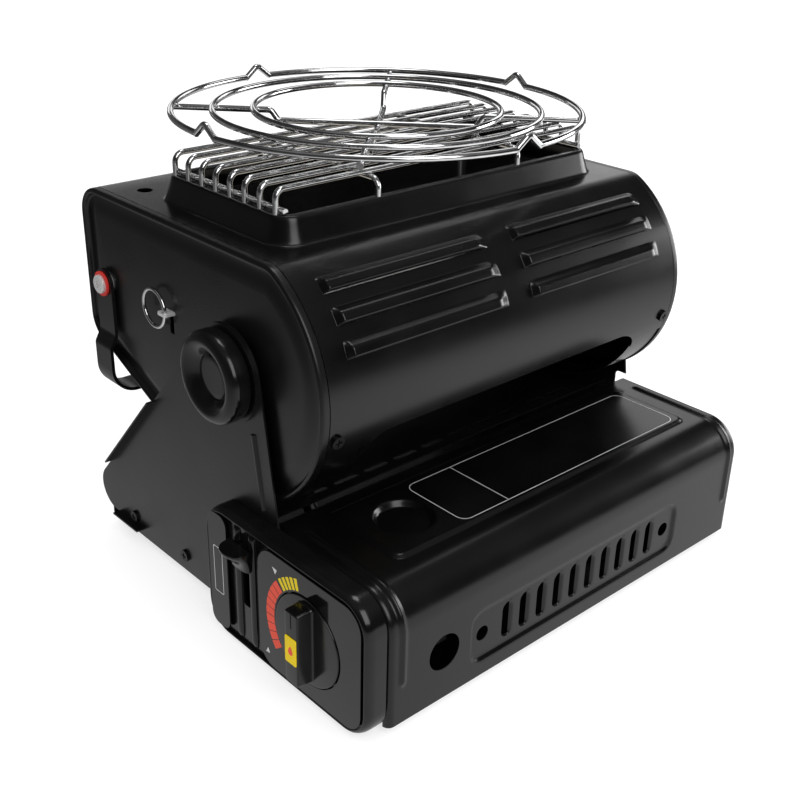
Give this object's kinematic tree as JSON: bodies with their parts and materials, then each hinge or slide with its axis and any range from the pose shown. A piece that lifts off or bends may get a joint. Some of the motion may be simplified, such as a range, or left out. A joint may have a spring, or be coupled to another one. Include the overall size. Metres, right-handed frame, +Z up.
{
  "type": "camping gas heater",
  "caption": "Tabletop gas heater and stove: louvred burner drum with wire guard and pot trivet, tilting between two brackets over a cartridge compartment with a hinged lid.",
  "frame": {"origin": "middle of the whole object's footprint, on the surface that its feet stand on", "axes": "+X along the drum away from the control end, +Y towards the rear, +Z up"},
  "size_m": [0.32, 0.2895, 0.2652],
  "materials": {
    "black_enamel": "semi-gloss black powder coat on sheet steel",
    "dark_coat": "satin black powder coat with a fine grain",
    "bright_wire": "chrome-plated steel wire",
    "zinc_steel": "bright zinc-plated steel",
    "black_screw": "blackened steel",
    "reflector": "bright stainless sheet, heat-tinted near the burner",
    "ceramic": "matt pale ceramic",
    "brass": "turned brass",
    "cast_zinc": "die-cast, matt",
    "black_plastic": "fine-textured moulded black plastic",
    "printed_plate": "smooth black plate with plain coloured bands",
    "yellow_insert": "smooth yellow plastic",
    "red_washer": "smooth red fibre washer",
    "foot_rubber": "black rubber"
  },
  "bodies": {
    "base": {"base_pan": "dark_coat", "left_bracket": "dark_coat", "right_bracket": "dark_coat", "pivot_bushes": "black_plastic", "bracket_bosses": "dark_coat", "bracket_screws": "black_screw", "rubber_feet": "foot_rubber", "compartment_wall": "dark_coat", "heat_shield": "dark_coat", "lid_pins": "zinc_steel", "control_bezel": "black_plastic", "control_plate": "printed_plate", "side_strip": "printed_plate", "regulator_body": "cast_zinc", "cartridge_seat": "brass", "cartridge_cradle": "black_plastic", "piezo_igniter": "black_plastic", "gas_pipe": "black_screw"},
    "head": {"upper_shell": "black_enamel", "lower_shell": "black_enamel", "left_end_plate": "dark_coat", "right_end_plate": "dark_coat", "opening_collar": "black_enamel", "reflector_pan": "black_enamel", "burner_plate": "ceramic", "burner_box": "reflector", "igniter_electrode": "ceramic", "flame_sensor": "ceramic", "inlet_tube": "brass", "gas_jet": "brass", "jet_bracket": "zinc_steel", "mixing_tube": "reflector", "guard_bars": "bright_wire", "guard_braces": "bright_wire", "shell_screws": "black_screw", "pivot_studs": "zinc_steel", "handle_screws": "zinc_steel", "handle_washers": "red_washer", "handle_spacers": "zinc_steel", "handle_nuts": "zinc_steel", "latch_guide": "zinc_steel"},
    "handle": {"carry_handle": "dark_coat"},
    "latch": {"latch_blade": "zinc_steel"},
    "ring": {"pull_ring": "bright_wire"},
    "trivet": {"pot_trivet": "bright_wire"},
    "left_knob": {"left_clamp_knob": "black_plastic"},
    "right_knob": {"right_clamp_knob": "black_plastic"},
    "lid": {"cartridge_lid": "black_enamel"},
    "lever": {"gas_lever": "black_plastic"},
    "lock": {"cartridge_lock": "zinc_steel"},
    "valve": {"valve_knob": "black_plastic", "knob_insert": "yellow_insert", "valve_spindle": "zinc_steel"}
  },
  "joints": [
    {"name": "head_tilt", "type": "hinge", "parent": "base", "child": "head", "pos_m": [0.00465, -0.02227, 0.1535], "axis": [1, 0, 0], "range_deg": [0, 65]},
    {"name": "left_knob_turn", "type": "hinge", "parent": "head", "child": "left_knob", "pos_m": [-0.13845, -0.02227, 0.1535], "axis": [-1, 0, 0], "range_deg": [0, 270]},
    {"name": "right_knob_turn", "type": "hinge", "parent": "head", "child": "right_knob", "pos_m": [0.14775, -0.02227, 0.1535], "axis": [1, 0, 0], "range_deg": [0, 270]},
    {"name": "handle_swing", "type": "hinge", "parent": "head", "child": "handle", "pos_m": [0.00465, 0.10272, 0.164], "axis": [1, 0, 0], "range_deg": [0, 170]},
    {"name": "latch_pull", "type": "slide", "parent": "head", "child": "latch", "axis": [-1, 0, 0], "range_m": [0, 0.005], "stiffness_N_per_m": 400},
    {"name": "ring_swing", "type": "hinge", "parent": "latch", "child": "ring", "pos_m": [-0.13525, 0.03673, 0.167], "axis": [0, 0, 1], "range_deg": [0, 90]},
    {"name": "trivet_lift", "type": "slide", "parent": "head", "child": "trivet", "axis": [0, 0, 1], "range_m": [0, 0.06]},
    {"name": "lid_hinge", "type": "hinge", "parent": "base", "child": "lid", "pos_m": [0.00465, -0.05828, 0.073], "axis": [-1, 0, 0], "range_deg": [0, 45]},
    {"name": "lever_slide", "type": "slide", "parent": "base", "child": "lever", "axis": [0, 0, -1], "range_m": [0, 0.028]},
    {"name": "lock_slide", "type": "slide", "parent": "base", "child": "lock", "axis": [-1, 0, 0], "range_m": [0, 0.006]},
    {"name": "valve_turn", "type": "hinge", "parent": "base", "child": "valve", "pos_m": [-0.14815, -0.09928, 0.0396], "axis": [-1, 0, 0], "range_deg": [0, 150]}
  ],
  "couplings": [
    {"joint": "lock_slide", "follows": "lever_slide", "ratio": 0.21429}
  ]
}
